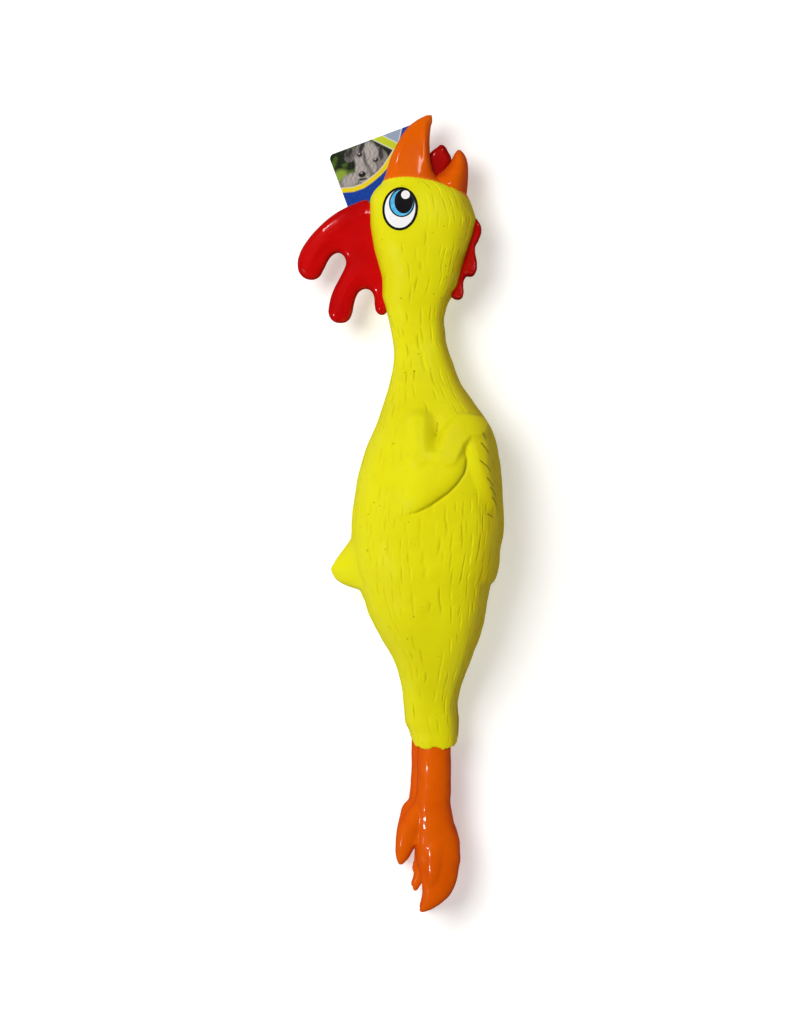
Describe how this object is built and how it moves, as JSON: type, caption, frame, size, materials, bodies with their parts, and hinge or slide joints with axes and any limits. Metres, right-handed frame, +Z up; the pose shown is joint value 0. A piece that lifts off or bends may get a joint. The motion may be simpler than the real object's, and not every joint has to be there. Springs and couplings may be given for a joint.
{
  "type": "rubber chicken",
  "caption": "Squeaky latex rubber chicken with open beak, comb, wattles, printed eyes, folded wings, dangling legs and a card swing tag.",
  "frame": {"origin": "on the surface that the toy lies on, under the middle of its box", "axes": "+X from the back towards the belly, +Y from the feet towards the beak, +Z up from the left side, which it lies on, to the right side"},
  "size_m": [0.119, 0.4604, 0.0768],
  "materials": {
    "yellow_latex": "satin",
    "orange_paint": "gloss",
    "red_paint": "gloss",
    "dark_red_paint": "gloss",
    "eye_print": "gloss print in black, white and blue",
    "squeaker_plastic": "moulded",
    "reed_metal": "thin strip",
    "tag_card": "gloss laminated print",
    "pin_plastic": "moulded"
  },
  "bodies": {
    "torso": {"torso_shell": "yellow_latex", "squeaker_cup": "squeaker_plastic", "reed_tube": "squeaker_plastic", "squeaker_cap": "squeaker_plastic"},
    "reed": {"reed": "reed_metal"},
    "neck": {"neck_base_bend": "yellow_latex", "neck_tube": "yellow_latex"},
    "head": {"head_bend": "yellow_latex", "head_shell": "yellow_latex", "upper_beak": "orange_paint", "lower_beak": "orange_paint", "tongue": "dark_red_paint", "comb": "red_paint", "wattle_right": "dark_red_paint", "wattle_left": "dark_red_paint", "eye_right": "eye_print", "eye_left": "eye_print", "tag_pin": "pin_plastic"},
    "tag": {"hang_tag": "tag_card"},
    "hips": {"hip_bend": "yellow_latex", "thigh_shell": "yellow_latex"},
    "leg_right": {"leg_right_bend": "orange_paint", "leg_right": "orange_paint"},
    "leg_left": {"leg_left_bend": "orange_paint", "leg_left": "orange_paint"}
  },
  "joints": [
    {"name": "neck_bend", "type": "hinge", "parent": "torso", "child": "neck", "pos_m": [0.0143, 0.0795, 0.0297], "axis": [0, 0, 1], "range_deg": [-35, 35], "stiffness_Nm_per_rad": 0.3, "deforming": ["neck_base_bend"]},
    {"name": "head_bend", "type": "hinge", "parent": "neck", "child": "head", "pos_m": [0.0116, 0.1055, 0.0266], "axis": [1, 0, 0], "range_deg": [0, 50], "stiffness_Nm_per_rad": 0.2, "deforming": ["head_bend"]},
    {"name": "hip_bend", "type": "hinge", "parent": "torso", "child": "hips", "pos_m": [0.0177, -0.107, 0.0228], "axis": [-1, 0, 0], "range_deg": [0, 40], "stiffness_Nm_per_rad": 0.3, "deforming": ["hip_bend"]},
    {"name": "leg_right_swing", "type": "hinge", "parent": "hips", "child": "leg_right", "pos_m": [0.0196, -0.14125, 0.0282], "axis": [0, 0, 1], "range_deg": [-35, 35], "stiffness_Nm_per_rad": 0.15, "deforming": ["leg_right_bend"]},
    {"name": "leg_left_swing", "type": "hinge", "parent": "hips", "child": "leg_left", "pos_m": [0.0196, -0.14125, 0.0092], "axis": [0, 0, 1], "range_deg": [-35, 35], "stiffness_Nm_per_rad": 0.15, "deforming": ["leg_left_bend"]},
    {"name": "tag_swing", "type": "hinge", "parent": "head", "child": "tag", "pos_m": [0.00291, 0.2065, 0.00135], "axis": [0, 0, 1], "range_deg": [-40, 40]},
    {"name": "reed_flutter", "type": "hinge", "parent": "torso", "child": "reed", "pos_m": [0.01773, -0.062, 0.0085], "axis": [0, 1, 0], "range_deg": [-1, 4], "stiffness_Nm_per_rad": 0.0002}
  ]
}
